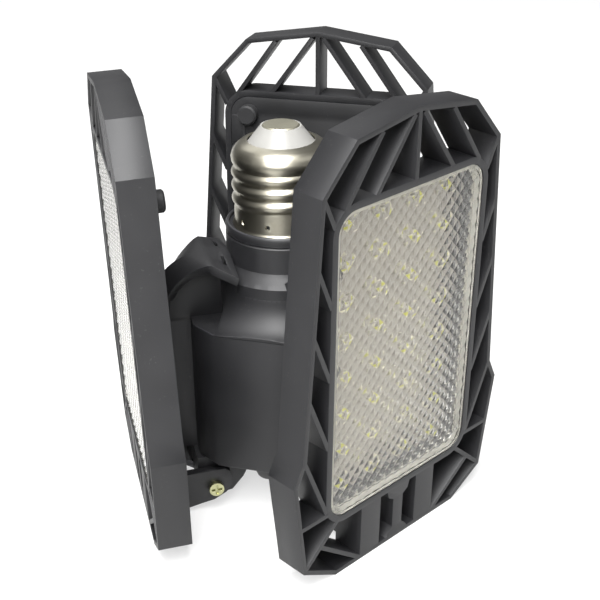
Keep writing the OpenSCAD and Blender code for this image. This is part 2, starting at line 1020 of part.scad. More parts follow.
module hinge_screws(k) {
  hinge_head_h = 1.3;
  recess_depth = 0.7;
  color("goldenrod")
    on_panel(k)
      for (side = [0, 1])
        mirror([side, 0, 0])
          translate([arm_out, hinge_depth, 0])
            rotate([0, 90, 0])
              difference() {
                union() {
                  cylinder(h = hinge_head_h, r = hinge_head_r);
                  translate([0, 0, chamber_half + 0.4 - arm_out])
                    cylinder(h = arm_out - chamber_half, r = pin_r);
                }
                for (turn = [0, 90])
                  rotate([0, 0, turn])
                    translate([-1.5, -0.35, hinge_head_h - recess_depth])
                      cube([3, 0.7, recess_depth + 1]);
              }
}

module lead_gland(k) {
  color("gray")
    on_panel(k)
      translate([gland_u, gland_y, tray_low - gland_l])
        difference() {
          cylinder(h = gland_l, r = gland_r);
          translate([0, 0, -1])
            cylinder(h = gland_l + 2, r = channel_r);
        }
}

module panel_lead(k) {
  y = hinge_depth;
  color("dimgray")
    on_panel(k)
      lead([
        [gland_u, gland_y, well_low + 0.4],
        [gland_u, gland_y, tray_low],
        [gland_u, gland_y, tray_low - gland_l],
        [gland_u, 6.8, 3.6],
        [gland_u + 0.4, 10.4, 1.9],
        [-2.6, y - 6.7, 0.8],
        [-0.6, y - 4, 0.2],
        [0, y - 2, 0],
        [0, y, 0]
      ], lead_r);
}

contact_tip();
base_insulator();
screw_shell();
neck_ring();
body_housing();
bottom_cover();
cover_screws();
driver_board();
board_screws();
driver_transformer();
driver_capacitors();
driver_rectifier();
tip_lead();
shell_lead();
driver_leads();
hinge_bushes();
panel_frame(0);  // panel_frame_1
panel_frame(1);  // panel_frame_2
panel_frame(2);  // panel_frame_3
lens(0);  // lens_1
lens(1);  // lens_2
lens(2);  // lens_3
lens_gasket(0);  // lens_gasket_1
lens_gasket(1);  // lens_gasket_2
lens_gasket(2);  // lens_gasket_3
led_board(0);  // led_board_1
led_board(1);  // led_board_2
led_board(2);  // led_board_3
led_chips(0);  // led_chips_1
led_chips(1);  // led_chips_2
led_chips(2);  // led_chips_3
rear_plate(0);  // rear_plate_1
rear_plate(1);  // rear_plate_2
rear_plate(2);  // rear_plate_3
rear_screws(0);  // rear_screws_1
rear_screws(1);  // rear_screws_2
rear_screws(2);  // rear_screws_3
bumpers(0);  // bumpers_1
bumpers(1);  // bumpers_2
bumpers(2);  // bumpers_3
hinge_screws(0);  // hinge_screws_1
hinge_screws(1);  // hinge_screws_2
hinge_screws(2);  // hinge_screws_3
lead_gland(0);  // lead_gland_1
lead_gland(1);  // lead_gland_2
lead_gland(2);  // lead_gland_3
panel_lead(0);  // panel_lead_1
panel_lead(1);  // panel_lead_2
panel_lead(2);  // panel_lead_3
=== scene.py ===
# %% [markdown]
# # A folding garage lamp, dressed for a photograph
#
# The lamp has a screw base, a driver body and three ribbed panels on hinges. Its construction is
# already modelled, and it arrives here as a frame of named nodes. This script gives every surface
# its finish, and it models the pieces whose looks need more than the plain solids: the rolled
# thread, the prismatic lenses, the lamp chips, the screw heads and the softened plastic edges.
# Lengths are in metres, and MM turns millimetres into metres.

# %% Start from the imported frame
import math

import bpy
from mathutils import Matrix, Vector


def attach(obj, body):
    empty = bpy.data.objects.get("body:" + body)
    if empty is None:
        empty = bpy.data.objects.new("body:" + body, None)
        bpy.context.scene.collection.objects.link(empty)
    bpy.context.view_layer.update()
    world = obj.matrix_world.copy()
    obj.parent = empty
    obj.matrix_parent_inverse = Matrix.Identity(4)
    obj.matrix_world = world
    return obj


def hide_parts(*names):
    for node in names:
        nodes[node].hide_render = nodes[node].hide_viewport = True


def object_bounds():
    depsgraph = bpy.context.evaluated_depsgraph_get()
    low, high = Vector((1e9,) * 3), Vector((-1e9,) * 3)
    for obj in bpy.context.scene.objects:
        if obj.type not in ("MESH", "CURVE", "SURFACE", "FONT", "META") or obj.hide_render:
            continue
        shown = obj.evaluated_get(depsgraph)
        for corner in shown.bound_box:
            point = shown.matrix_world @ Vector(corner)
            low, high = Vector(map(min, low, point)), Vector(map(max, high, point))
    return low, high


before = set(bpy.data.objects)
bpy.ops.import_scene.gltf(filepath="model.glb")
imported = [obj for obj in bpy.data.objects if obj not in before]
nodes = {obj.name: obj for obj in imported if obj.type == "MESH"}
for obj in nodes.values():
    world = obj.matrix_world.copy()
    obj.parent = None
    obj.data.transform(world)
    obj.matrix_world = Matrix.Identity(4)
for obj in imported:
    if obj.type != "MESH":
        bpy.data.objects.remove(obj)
MM = 0.001
cad_box = [list(corner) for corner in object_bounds()]
bpy.context.scene.view_settings.view_transform = "Standard"

# %% [markdown]
# ## Camera
#
# The camera comes first, because every later choice is judged through it. Its place was worked out
# by matching the corners of the panels, so the perspective of the picture is the lens's own, and
# no shift is needed. A camera looks along its own -Z, so it is tipped up from straight down by
# 90 degrees less the elevation, and then turned to its azimuth.

# %% Camera
CAMERA_PLACE = Vector((-206.15, -217.87, 95.75)) * MM
CAMERA_AZIMUTH = -44.28
CAMERA_ELEVATION = 26.1
CAMERA_ROLL = -0.61
FOCAL_LENGTH = 71.75

camera_data = bpy.data.cameras.new("camera")
camera_data.lens = FOCAL_LENGTH
camera = bpy.data.objects.new("camera", camera_data)
bpy.context.scene.collection.objects.link(camera)
turn = Matrix.Rotation(math.radians(CAMERA_AZIMUTH), 4, "Z")
tip = Matrix.Rotation(math.radians(90 - CAMERA_ELEVATION), 4, "X")
roll = Matrix.Rotation(math.radians(CAMERA_ROLL), 4, "Z")
camera.matrix_world = Matrix.Translation(CAMERA_PLACE) @ turn @ tip @ roll
bpy.context.scene.camera = camera
print("Camera at", [round(c, 3) for c in CAMERA_PLACE])

# %% [markdown]
# ## Writing materials as expressions
#
# Shader nodes are easier to read as a formula than as a list of links. A Wire stands for one
# socket, and adding or multiplying Wires adds the Math nodes. A Finish is a material with one
# Principled shader: its node method makes any other node, and its wear method joins a result to
# a socket of the shader.

# %% Helpers for materials
def linear(hex_colour):
    """The colour of a web code, such as '#3a3a3d', as linear red, green, blue and alpha."""
    parts = [int(hex_colour[i:i + 2], 16) / 255 for i in (1, 3, 5)]
    return [p / 12.92 if p <= 0.04045 else ((p + 0.055) / 1.055) ** 2.4 for p in parts] + [1]


class Wire:
    """One output socket, with the arithmetic of Math nodes."""

    def __init__(self, finish, socket):
        self.finish, self.socket = finish, socket

    def _math(self, operation, *values):
        return self.finish.node("ShaderNodeMath", {"operation": operation}, dict(enumerate(values)))

    def __add__(self, other):
        return self._math("ADD", self, other)

    def __rsub__(self, other):
        return self._math("SUBTRACT", other, self)

    def __mul__(self, other):
        return self._math("MULTIPLY", self, other)

    __radd__, __rmul__ = __add__, __mul__

    def between(self, low, high):
        """0 below low, 1 above high, and a smooth step between them."""
        settings = {"interpolation_type": "SMOOTHSTEP"}
        sockets = {"Value": self, "From Min": low, "From Max": high}
        return self.finish.node("ShaderNodeMapRange", settings, sockets)


class Finish:
    """A material with one Principled shader."""

    def __init__(self, name, **sockets):
        self.material = bpy.data.materials.new(name)
        self.material.use_nodes = True
        self.tree = self.material.node_tree
        self.shader = self.tree.nodes["Principled BSDF"]
        self.place = self.node("ShaderNodeTexCoord", output="Object")
        for socket, value in sockets.items():
            self.wear(socket.replace("_", " "), value)

    def node(self, kind, settings=(), sockets=(), output=0):
        made = self.tree.nodes.new(kind)
        for key, value in dict(settings).items():
            setattr(made, key, value)
        for key, value in dict(sockets).items():
            if isinstance(value, Wire):
                self.tree.links.new(value.socket, made.inputs[key])
            else:
                made.inputs[key].default_value = value
        return Wire(self, made.outputs[output])

    def wear(self, socket, value):
        if isinstance(value, Wire):
            self.tree.links.new(value.socket, self.shader.inputs[socket])
        else:
            self.shader.inputs[socket].default_value = value

    def noise(self, size, detail=2.0, place=None):
        """Noise from 0 to 1, whose blotches are about size metres across."""
        sockets = {"Vector": place or self.place, "Scale": 1 / size, "Detail": detail}
        return self.node("ShaderNodeTexNoise", {}, sockets)

    def blend(self, factor, first, second):
        """A colour that goes from first to second with factor."""
        sockets = {"Factor": factor, 6: first, 7: second}
        return self.node("ShaderNodeMix", {"data_type": "RGBA"}, sockets, output=2)

    def emboss(self, height, depth):
        """Raises the surface by height times depth metres, as far as light can tell."""
        sockets = {"Height": height, "Distance": depth, "Strength": 1}
        self.wear("Normal", self.node("ShaderNodeBump", {}, sockets))


print("Material helpers are ready")

# %% [markdown]
# ## Moulded plastic
#
# The body and the cages are charcoal ABS. Up close it isn't one colour: the mould was
# spark-eroded, so the skin has a fine grain, and the flow of the plastic leaves soft cloudy
# patches of gloss. The grain is a bump from fine noise, and the clouds drive the roughness. A
# second, glossier finish goes on the rounded edges, and its slightly paler colour is a painted highlight.

# %% Charcoal plastic
GRAIN = 0.22 * MM
CLOUD = 14 * MM


def plastic(name, dark, pale, gloss, dust=0.06):
    finish = Finish(name, Metallic=0.0)
    grain = finish.noise(GRAIN, 1.0)
    cloud = finish.noise(CLOUD, 3.0)
    specks = finish.noise(0.7 * MM, 1.0).between(0.66, 0.74) * finish.noise(6 * MM).between(0.45, 0.7)
    colour = finish.blend(cloud.between(0.3, 0.75), linear(dark), linear(pale))
    finish.wear("Base Color", finish.blend(specks * dust, colour, linear("#8d8c88")))
    finish.wear("Roughness", gloss + 0.14 * cloud + 0.05 * grain)
    finish.emboss(grain + 0.6 * specks, 0.012 * MM)
    return finish.material


charcoal = plastic("charcoal_plastic", "#151517", "#1a1a1c", 0.42)
# The edge finish's paler colour is a painted highlight for the line of light on rounded edges; its lower
# roughness is real gloss.
charcoal_edge_highlight = plastic("charcoal_edge_highlight", "#242427", "#2c2c2f", 0.3, dust=0.03)
plate_black = plastic("plate_black", "#111112", "#161618", 0.46)
print("Plastic finishes:", charcoal.name, charcoal_edge_highlight.name, plate_black.name)

# %% [markdown]
# ## Metals
#
# The shell is nickel-plated brass, rolled in one pass, so its fine scratches run round the axis.
# Stretching a noise along the direction of the scratches would need a turned coordinate, and
# reading only the height does the same for a body of revolution: the noise then varies up and
# down and hardly at all sideways.

# %% Nickel, solder, zinc and steel
def metal(name, colour, stain, gloss, scratch=0.3 * MM, depth=0.003 * MM):
    finish = Finish(name, Metallic=1.0)
    squash = finish.node("ShaderNodeMapping", {}, {"Vector": finish.place, "Scale": (0.06, 0.06, 1)})
    lines = finish.noise(scratch, 2.0, squash)
    stains = finish.noise(5 * MM, 3.0).between(0.45, 0.8)
    finish.wear("Base Color", finish.blend(stains * 0.6, linear(colour), linear(stain)))
    finish.wear("Roughness", gloss + 0.12 * lines + 0.1 * stains)
    finish.emboss(lines, depth)
    return finish.material


nickel = metal("rolled_nickel", "#aba799", "#918c7d", 0.26)
solder_grey = metal("contact_disc", "#a8a595", "#8f8c7e", 0.42, 0.5 * MM)
yellow_zinc = metal("yellow_zinc", "#b8b890", "#8f8e62", 0.26)
steel = metal("screw_steel", "#b9b9bb", "#8f8f92", 0.28)
brass = metal("bush_brass", "#c8a862", "#a88a4e", 0.3)
print("Metals:", nickel.name, solder_grey.name, yellow_zinc.name, steel.name, brass.name)

# %% [markdown]
# ## Small plain finishes
#
# Rubber, lead jackets, sleeves and gaskets share one recipe: a colour with soft patches and a
# little grain. It is a function, so each finish is one line, and the numbers that make rubber
# look like rubber stand next to each other.

# %% Soft finishes
def soft_finish(name, colour, patch, gloss, grain_size=0.3 * MM, depth=0.01 * MM):
    finish = Finish(name, Metallic=0.0)
    grain = finish.noise(grain_size)
    patches = finish.noise(4 * MM, 3.0)
    finish.wear("Base Color", finish.blend(patches, linear(colour), linear(patch)))
    finish.wear("Roughness", gloss + 0.1 * patches)
    finish.emboss(grain, depth)
    return finish.material


milk_white = soft_finish("milk_white", "#92918e", "#8b8a86", 0.35, 2 * MM, 0.01 * MM)
bumper_rubber = soft_finish("bumper_rubber", "#161617", "#202022", 0.62)
gland_rubber = soft_finish("gland_rubber", "#77777a", "#8a8a8c", 0.5)
red_jacket = soft_finish("red_jacket", "#a8231d", "#8f1c18", 0.35)
black_jacket = soft_finish("black_jacket", "#151516", "#222224", 0.35)
grey_jacket = soft_finish("grey_jacket", "#4b4b4e", "#5a5a5d", 0.4)
gasket_white = soft_finish("gasket_white", "#d9d8d3", "#c8c6bf", 0.6)
can_sleeve = soft_finish("can_sleeve", "#1d2a52", "#172244", 0.3)
moulded_black = soft_finish("moulded_black", "#1a1a1b", "#262627", 0.5)
chip_body = soft_finish("chip_body", "#e6e3d6", "#d6d2c0", 0.4)
phosphor = soft_finish("phosphor", "#d6d83a", "#c4c42c", 0.35)
print("Soft finishes are ready")

# %% [markdown]
# ## Circuit boards
#
# A board shows its solder mask, and the copper under it as a slightly raised, paler pattern. A
# Brick Texture draws straight runs with gaps between them, which reads as tracks, and its factor
# also feeds the bump. The lamp boards are white, to throw light forwards, and the driver's is green.

# %% Boards
def board_finish(name, mask, copper, run, gloss):
    finish = Finish(name, Metallic=0.0)
    sockets = {"Vector": finish.place, "Scale": 1.0, "Brick Width": run, "Row Height": run / 3,
               "Mortar Size": run / 14, "Mortar": (0, 0, 0, 1),
               "Color1": (1, 1, 1, 1), "Color2": (0.8, 0.8, 0.8, 1)}
    tracks = finish.node("ShaderNodeTexBrick", {}, sockets, output="Fac")
    finish.wear("Base Color", finish.blend(tracks * 0.5, linear(copper), linear(mask)))
    finish.wear("Roughness", gloss + 0.1 * finish.noise(3 * MM))
    finish.emboss(1 - tracks, 0.03 * MM)
    return finish.material


lamp_board = board_finish("lamp_board", "#9d9893", "#aaa5a0", 12 * MM, 0.35)
driver_green = board_finish("driver_green", "#0f3d24", "#1d5a38", 9 * MM, 0.3)
print("Boards:", lamp_board.name, driver_green.name)

# %% [markdown]
# ## Clear acrylic
#
# The lens is clear: what the picture shows in it is the white board and the dark walls of the
# tray, bent by the prisms. So it is real refraction, with the index of acrylic, and the prisms
# are geometry. A little roughness stands for the moulded skin, and the base colour carries the
# faint warm tint of the plastic.

# %% Acrylic
ACRYLIC_INDEX = 1.49

acrylic = Finish("clear_acrylic", Metallic=0.0, IOR=ACRYLIC_INDEX, Transmission_Weight=1.0)
haze = acrylic.noise(3 * MM, 2.0)
acrylic.wear("Base Color", acrylic.blend(haze, linear("#fbfaf4"), linear("#f1efe6")))
acrylic.wear("Roughness", 0.05 + 0.08 * haze)
acrylic.emboss(acrylic.noise(0.6 * MM), 0.004 * MM)
print("Lens finish:", acrylic.material.name)

# %% [markdown]
# ## Finishes for the nodes that stay
#
# Most small pieces keep their solid shape. A node's material is swapped by filling all its slots,
# and its mesh isn't touched.

# %% Give every kept node its finish
PANELS = (1, 2, 3)
KEPT = {
    "contact_tip": solder_grey, "base_insulator": milk_white, "neck_ring": charcoal,
    "driver_board": driver_green, "board_screws": steel, "driver_transformer": moulded_black,
    "driver_capacitors": can_sleeve, "driver_rectifier": moulded_black, "tip_lead": red_jacket,
    "shell_lead": black_jacket, "driver_leads": grey_jacket, "hinge_bushes": brass,
    "bottom_cover": charcoal, "cover_screws": yellow_zinc, "body_housing": charcoal, "screw_shell": nickel,
}
KEPT_ON_PANELS = {
    "lens_gasket": gasket_white, "led_board": lamp_board, "lead_gland": gland_rubber,
    "bumpers": bumper_rubber, "rear_screws": steel, "hinge_screws": yellow_zinc,
    "panel_lead": grey_jacket, "rear_plate": plate_black, "panel_frame": charcoal,
    "led_chips": chip_body, "lens": acrylic.material,
}


def dress(piece, *materials):
    piece.data.materials.clear()
    for material in materials:
        piece.data.materials.append(material)


KEPT.update({f"{name}_{k}": finish for name, finish in KEPT_ON_PANELS.items() for k in PANELS})
for name, material in KEPT.items():
    dress(nodes[name], material)
print(f"{len(KEPT)} of {len(nodes)} nodes have their finish")

# %% [markdown]
# ## Working with operators
#
# Operators act on whatever is selected, and loading leaves the frame selected. So each step
# starts with nothing selected, picks its piece, and works on that alone. These helpers are the
# hands: one picks a piece, one opens it for editing, and one adds a modifier and applies it.

# %% Helpers for modelling
def pick(piece):
    if bpy.context.mode != "OBJECT":
        bpy.ops.object.mode_set(mode="OBJECT")
    bpy.ops.object.select_all(action="DESELECT")
    piece.select_set(True)
    bpy.context.view_layer.objects.active = piece


def edit(piece, what="FACE"):
    pick(piece)
    bpy.ops.object.mode_set(mode="EDIT")
    bpy.ops.mesh.select_mode(type=what)
    bpy.ops.mesh.select_all(action="SELECT")


def done():
    bpy.ops.object.mode_set(mode="OBJECT")


def apply_modifier(piece, kind, **settings):
    pick(piece)
    modifier = piece.modifiers.new(kind.lower(), kind)
    for key, value in settings.items():
        setattr(modifier, key, value)
    bpy.ops.object.modifier_apply(modifier=modifier.name)


def settle(piece, name):
    """Moves the piece's place into its mesh, so that its object sits at the origin."""
    pick(piece)
    bpy.ops.object.transform_apply(location=True, rotation=True, scale=True)
    piece.name = piece.data.name = name
    return piece


def smooth(piece, degrees=32):
    pick(piece)
    bpy.ops.object.shade_smooth_by_angle(angle=math.radians(degrees))


def copy_of(node, name):
    """A new object with its own copy of a node's mesh, welded and ready to be shaped."""
    piece = bpy.data.objects.new(name, nodes[node].data.copy())
    bpy.context.scene.collection.objects.link(piece)
    edit(piece)
    bpy.ops.mesh.customdata_custom_splitnormals_clear()
    bpy.ops.mesh.remove_doubles(threshold=0.002 * MM)
    done()
    return piece


def join(pieces, name):
    """Makes one object of several."""
    pick(pieces[0])
    for piece in pieces[1:]:
        piece.select_set(True)
    bpy.ops.object.join()
    return settle(bpy.context.object, name)


def cut(piece, cutter, operation="DIFFERENCE"):
    """Cuts a piece with another one, which is used up."""
    apply_modifier(piece, "BOOLEAN", object=cutter, operation=operation, solver="EXACT")
    bpy.data.objects.remove(cutter)


def choose(piece, test, what="VERT"):
    """Opens a piece with only the vertices, edges or faces selected that pass a test of their place."""
    edit(piece, what)
    bpy.ops.mesh.select_all(action="DESELECT")
    done()
    parts = {"VERT": piece.data.vertices, "EDGE": piece.data.edges, "FACE": piece.data.polygons}[what]
    for part in parts:
        part.select = test(part)
    bpy.ops.object.mode_set(mode="EDIT")


def move(x=0, y=0, z=0):
    bpy.ops.transform.translate(value=Vector((x, y, z)) * MM)


def extrude(x=0, y=0, z=0):
    bpy.ops.mesh.extrude_region_move(TRANSFORM_OT_translate={"value": Vector((x, y, z)) * MM})


def draw(name, points, filled=True):
    """Draws an outline by extruding one vertex from point to point, and fills it with a face."""
    bpy.ops.object.select_all(action="DESELECT")
    bpy.ops.mesh.primitive_plane_add(size=MM)
    piece = bpy.context.object
    piece.name = name
    edit(piece, "VERT")
    bpy.ops.mesh.merge(type="CENTER")
    move(*points[0])
    for start, end in zip(points, points[1:]):
        extrude(*(Vector(end) - Vector(start)))
    if filled:
        bpy.ops.mesh.select_all(action="SELECT")
        bpy.ops.mesh.edge_face_add()
    done()
    return piece


def close_up(piece):
    """Merges what spinning left double, and turns all faces outwards."""
    edit(piece)
    bpy.ops.mesh.remove_doubles(threshold=0.002 * MM)
    bpy.ops.mesh.normals_make_consistent(inside=False)
    done()


def lathe(name, profile, steps=96, filled=True):
    """Spins a profile of (radius, height) once round the upright axis."""
    piece = draw(name, [(r, 0, z) for r, z in profile], filled)
    edit(piece, "EDGE")
    if filled:
        bpy.ops.mesh.delete(type="ONLY_FACE")
        bpy.ops.mesh.select_all(action="SELECT")
    bpy.ops.mesh.spin(steps=steps, angle=2 * math.pi, center=(0, 0, 0), axis=(0, 0, 1))
    close_up(piece)
    return piece


def prism(name, outline, depth, place=Matrix.Identity(4)):
    """Draws an outline in X and Z, extrudes it along Y between two depths, and puts it in place."""
    piece = draw(name, [(x, depth[0], z) for x, z in outline])
    edit(piece)
    extrude(y=depth[1] - depth[0])
    close_up(piece)
    piece.matrix_world = place
    return settle(piece, name)


def facing(azimuth):
    """The frame whose -Y looks out at an azimuth."""
    return Matrix.Rotation(math.radians(azimuth), 4, "Z")


def turned_copy(piece, azimuth, name):
    """A copy with its own mesh, turned round the lamp's axis."""
    twin = piece.copy()
    twin.data = piece.data.copy()
    bpy.context.scene.collection.objects.link(twin)
    twin.matrix_world = facing(azimuth)
    return settle(twin, name)


print("Modelling helpers are ready")

# %% [markdown]
# ## Softened edges
#
# No moulded edge is sharp: the mould's own radius catches a thin line of light, and on dark
# plastic that line is what shows the ribs. The pieces' solids have sharp edges, so a copy of each
# mesh is welded and a bevel rounds its edges. The bevel's faces take the second finish, whose
# paler colour paints that line of light as a highlight.

# %% Round the edges of a piece
def soften(piece, width, finish, edge_finish, degrees=28):
    dress(piece, finish, edge_finish)
    # The bevel's faces take edge_finish, which on the plastics carries the painted highlight of the edges.
    apply_modifier(piece, "BEVEL", width=width, segments=2, limit_method="ANGLE",
                   angle_limit=math.radians(degrees), material=1, miter_outer="MITER_ARC")
    smooth(piece, 40)
    return piece


def stands_for(piece, body, slot, *replaced):
    """Puts a finished piece on its body, in place of the nodes that it replaces."""
    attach(piece, body)
    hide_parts(*replaced)
    print(piece.name, "has", len(piece.data.polygons), "faces")


CAGE_EDGE, PLATE_EDGE, FOOT_EDGE, BODY_EDGE, COVER_EDGE = 0.28 * MM, 0.2 * MM, 0.4 * MM, 0.3 * MM, 0.25 * MM
for k in PANELS:
    cage = soften(copy_of(f"panel_frame_{k}", f"cage_{k}"), CAGE_EDGE, charcoal, charcoal_edge_highlight)
    stands_for(cage, f"panel_{k}", "body_plastic", f"panel_frame_{k}")
    plate = soften(copy_of(f"rear_plate_{k}", f"plate_{k}"), PLATE_EDGE, plate_black, charcoal_edge_highlight)
    stands_for(plate, f"panel_{k}", "rear_plate_metal", f"rear_plate_{k}")
    feet = soften(copy_of(f"bumpers_{k}", f"feet_{k}"), FOOT_EDGE, bumper_rubber, bumper_rubber, 50)
    stands_for(feet, f"panel_{k}", "bumper_rubber", f"bumpers_{k}")

ring = soften(copy_of("neck_ring", "ring"), COVER_EDGE, charcoal, charcoal_edge_highlight)
stands_for(ring, "body", "body_plastic", "neck_ring")

# %% [markdown]
# ## The driver body
#
# The body's moulding is finer than its plain solid. Each hood is a bent roof over an open space,
# with a web under its ridge, the corner faces are flat with a cove that ends at their sides, and
# the roots of the hinge barrels reach far inwards. So the solid hoods and the bulge of the corner
# faces are cut off a copy of the body, and those forms are modelled afresh and joined to it. Sizes
# are in millimetres. Each form is made once, facing -Y, and copied round by 120 degrees.

# %% Sizes of the body
LEDGE_Z, CORE_LOW, HINGE_Z = -51.7, -93.0, -101.7
HINGE_R, FACE_R, FACE_HALF = 23.6, 26.8, 7.2
SLAB_R, SLAB_HALF = 23.9, 12.6
HOOD_R, HOOD_SIDE_R, HOOD_TOP, HOOD_ROOT = 33.3, 19.8, -33.6, 15.2
FOOT_R, COVE_R, COVE_TOP = 18.0, 9.0, -42.7
THIRDS = (0, 120, 240)


def face_point(azimuth, r, s):
    """The point at distance r and offset s in the frame that faces an azimuth."""
    a = math.radians(azimuth)
    return r * math.sin(a) + s * math.cos(a), s * math.sin(a) - r * math.cos(a)


print("The body's sizes are set")

# %% Cut the solid hoods off a copy of the body
body = copy_of("body_housing", "moulded_body")
NECK_R, NECK_LOW, FOOT_Z, ABOVE_HOODS = 15.4, -36.3, -39.7, -30
REACH, CLEAR, BEHIND, SIDE = 45, 0.03, 0.05, 20
SEAM_Z = LEDGE_Z + 0.02
hoods_away = lathe("hoods_away", [
    (FOOT_R + CLEAR, SEAM_Z), (FOOT_R + CLEAR, FOOT_Z), (NECK_R + CLEAR, NECK_LOW),
    (NECK_R + CLEAR, ABOVE_HOODS), (REACH, ABOVE_HOODS), (REACH, SEAM_Z)])
cut(body, hoods_away)
below = CORE_LOW - 0.1
bulge = [(-SIDE, below), (SIDE, below), (SIDE, SEAM_Z), (-SIDE, SEAM_Z)]
for a in THIRDS:
    cut(body, prism("bulge", bulge, (-REACH, BEHIND - SLAB_R), facing(a + 60)))
soften(body, BODY_EDGE, charcoal, charcoal_edge_highlight)
print("The body keeps", len(body.data.polygons), "faces")

# %% The core's walls, with flat corner faces
WALL, LID, OUTLINE_R = 1.2, 6.5, 24
outline = [p for a in THIRDS for p in (
    face_point(a, FACE_R, -FACE_HALF), face_point(a, FACE_R, FACE_HALF),
    face_point(a + 60, SLAB_R, -SLAB_HALF), face_point(a + 60, SLAB_R, SLAB_HALF))]
core = draw("core", [(x, y, LEDGE_Z + CLEAR) for x, y in outline])
edit(core)
bpy.ops.mesh.inset(thickness=LID * MM)
bpy.ops.mesh.delete(type="FACE")
done()
corner = core.data.vertices
choose(core, lambda edge: all(corner[v].co.xy.length > OUTLINE_R * MM for v in edge.vertices), "EDGE")
extrude(z=CORE_LOW - LEDGE_Z)
close_up(core)
apply_modifier(core, "SOLIDIFY", thickness=WALL * MM, offset=-1)
print("The core has", len(core.data.polygons), "faces")

# %% Coves on the three corner faces
ARC_STEPS, INTO, SUNK = 16, 1, 0.5
arc = [math.pi / 2 * i / ARC_STEPS for i in range(ARC_STEPS + 1)]
cove_profile = [(FOOT_R - INTO, LEDGE_Z - SUNK), (FOOT_R - INTO, COVE_TOP)] + [
    (FOOT_R + COVE_R * (1 - math.cos(t)), COVE_TOP - COVE_R * math.sin(t) + CLEAR) for t in arc
] + [(FOOT_R + COVE_R, LEDGE_Z - SUNK)]
strip = [(-SLAB_HALF, LEDGE_Z - 1), (SLAB_HALF, LEDGE_Z - 1),
         (SLAB_HALF, COVE_TOP + 1), (-SLAB_HALF, COVE_TOP + 1)]
cove = lathe("cove", cove_profile, 144)
cut(cove, prism("strip", strip, (-SLAB_R, 0), facing(60)), "INTERSECT")
print("One cove")

# %% Hoods and their webs
LEVEL_R, RIDGE_FALL = 20, 4.7
ARCH_R, ARCH_MID_R, ARCH_DROP, ARCH_FROM, ROOT_FALL = 19.9, 14.4, 19.5, 22, 0.45


def ridge_z(r):
    """Level near the neck, then falling ever faster."""
    return HOOD_TOP - RIDGE_FALL * max(0, (r - LEVEL_R) / (HOOD_R - LEVEL_R)) ** 3


def under_z(r):
    """The lower edge: an arch, with a straight fall back to the neck."""
    arch = math.sqrt(ARCH_R ** 2 - (max(r, ARCH_FROM) - ARCH_MID_R) ** 2)
    return HOOD_TOP - ARCH_DROP + arch - ROOT_FALL * max(0, ARCH_FROM - r)


EAVE, ROOF, STATIONS, COLUMNS_ACROSS = 1.4, 2.4, 14, 4
HOOD_DEEP = HOOD_R - HOOD_ROOT
HOOD_MID = (HOOD_R + HOOD_ROOT) / 2
QUARTER = HOOD_DEEP / COLUMNS_ACROSS
ON_ROW = 0.1

bpy.ops.object.select_all(action="DESELECT")
bpy.ops.mesh.primitive_grid_add(x_subdivisions=COLUMNS_ACROSS, y_subdivisions=STATIONS, size=HOOD_DEEP * MM,
                                location=Vector((0, -HOOD_MID, 0)) * MM)
hood = settle(bpy.context.object, "hood")
for i in range(STATIONS + 1):
    r = HOOD_ROOT + HOOD_DEEP * i / STATIONS
    half = (HOOD_SIDE_R - r / 2) / math.cos(math.radians(30))
    drop = under_z(r) + EAVE - ridge_z(r)
    for column, share in ((1, 0.45), (2, 1)):
        choose(hood, lambda v: abs(v.co.y / MM + r) < ON_ROW
               and abs(abs(v.co.x / MM) - column * QUARTER) < ON_ROW)
        move(z=drop * share)
        done()
    choose(hood, lambda v: abs(v.co.y / MM + r) < ON_ROW)
    move(z=ridge_z(r))
    bpy.ops.transform.resize(value=(2 * half / HOOD_DEEP, 1, 1), center_override=(0, 0, 0))
    done()
close_up(hood)
apply_modifier(hood, "SOLIDIFY", thickness=ROOF * MM, offset=-1)
print("One hood has", len(hood.data.polygons), "faces")

# %% Slots in the hood's root, the web under it and the root of the hinge barrels
SLOT_NEAR, SLOT_FAR, SLOT_DEEP_FROM, SLOT_DEEP_TO, SLOT_LOW = 3.4, 8, 2.0, 2.9, -40
WEB_FROM, WEB_HALF, WEB_BACK, WEB_NOSE, UNDER = 17, 2, 0.8, 6, 1
ROOT_HALF = 9.1
for side in (1, -1):
    near, far = side * SLOT_NEAR, side * SLOT_FAR
    slot = [(near, SLOT_LOW), (near, ABOVE_HOODS), (far, ABOVE_HOODS), (far, SLOT_LOW)]
    cut(hood, prism("slot", slot, (-HOOD_ROOT - SLOT_DEEP_TO, -HOOD_ROOT - SLOT_DEEP_FROM)))
nose = HOOD_R - WEB_BACK
web_outline = [(WEB_FROM, LEDGE_Z - UNDER), (WEB_FROM, ridge_z(WEB_FROM) - UNDER),
               (FACE_R, ridge_z(FACE_R) - UNDER), (nose, ridge_z(nose) - WEB_NOSE), (nose, LEDGE_Z - UNDER)]
sideways = Matrix.Rotation(math.radians(-90), 4, "Z")
web = prism("web", web_outline, (-WEB_HALF, WEB_HALF), sideways)
from_hinge = ((-2, -4.05), (-5.3, -3.6), (-8.7, 0.4), (-9.6, 2.2), (-9.6, 8.72), (-2, 8.72))
root_outline = [(HINGE_R + out, HINGE_Z + up) for out, up in from_hinge]
root = prism("root", root_outline, (-ROOT_HALF, ROOT_HALF), sideways)
print("Two slots, a web and a root")

# %% Join the body
forms = [body]
for form in (core, cove, hood, web, root):
    soften(form, BODY_EDGE, charcoal, charcoal_edge_highlight, 35)
    forms.append(form)
for form in (cove, hood, web, root):
    forms += [turned_copy(form, a, "form") for a in THIRDS[1:]]
stands_for(join(forms, "moulded_body"), "body", "body_plastic", "body_housing")

# %% [markdown]
# ## Bottom cover
#
# Dark tapered forms show under the corner faces, and they are read as towers that take the cover's
# screws. Each is a cone whose lower face is inset and pushed up, which leaves a hollow for the
# screw's head, and they are joined to a softened copy of the cover.

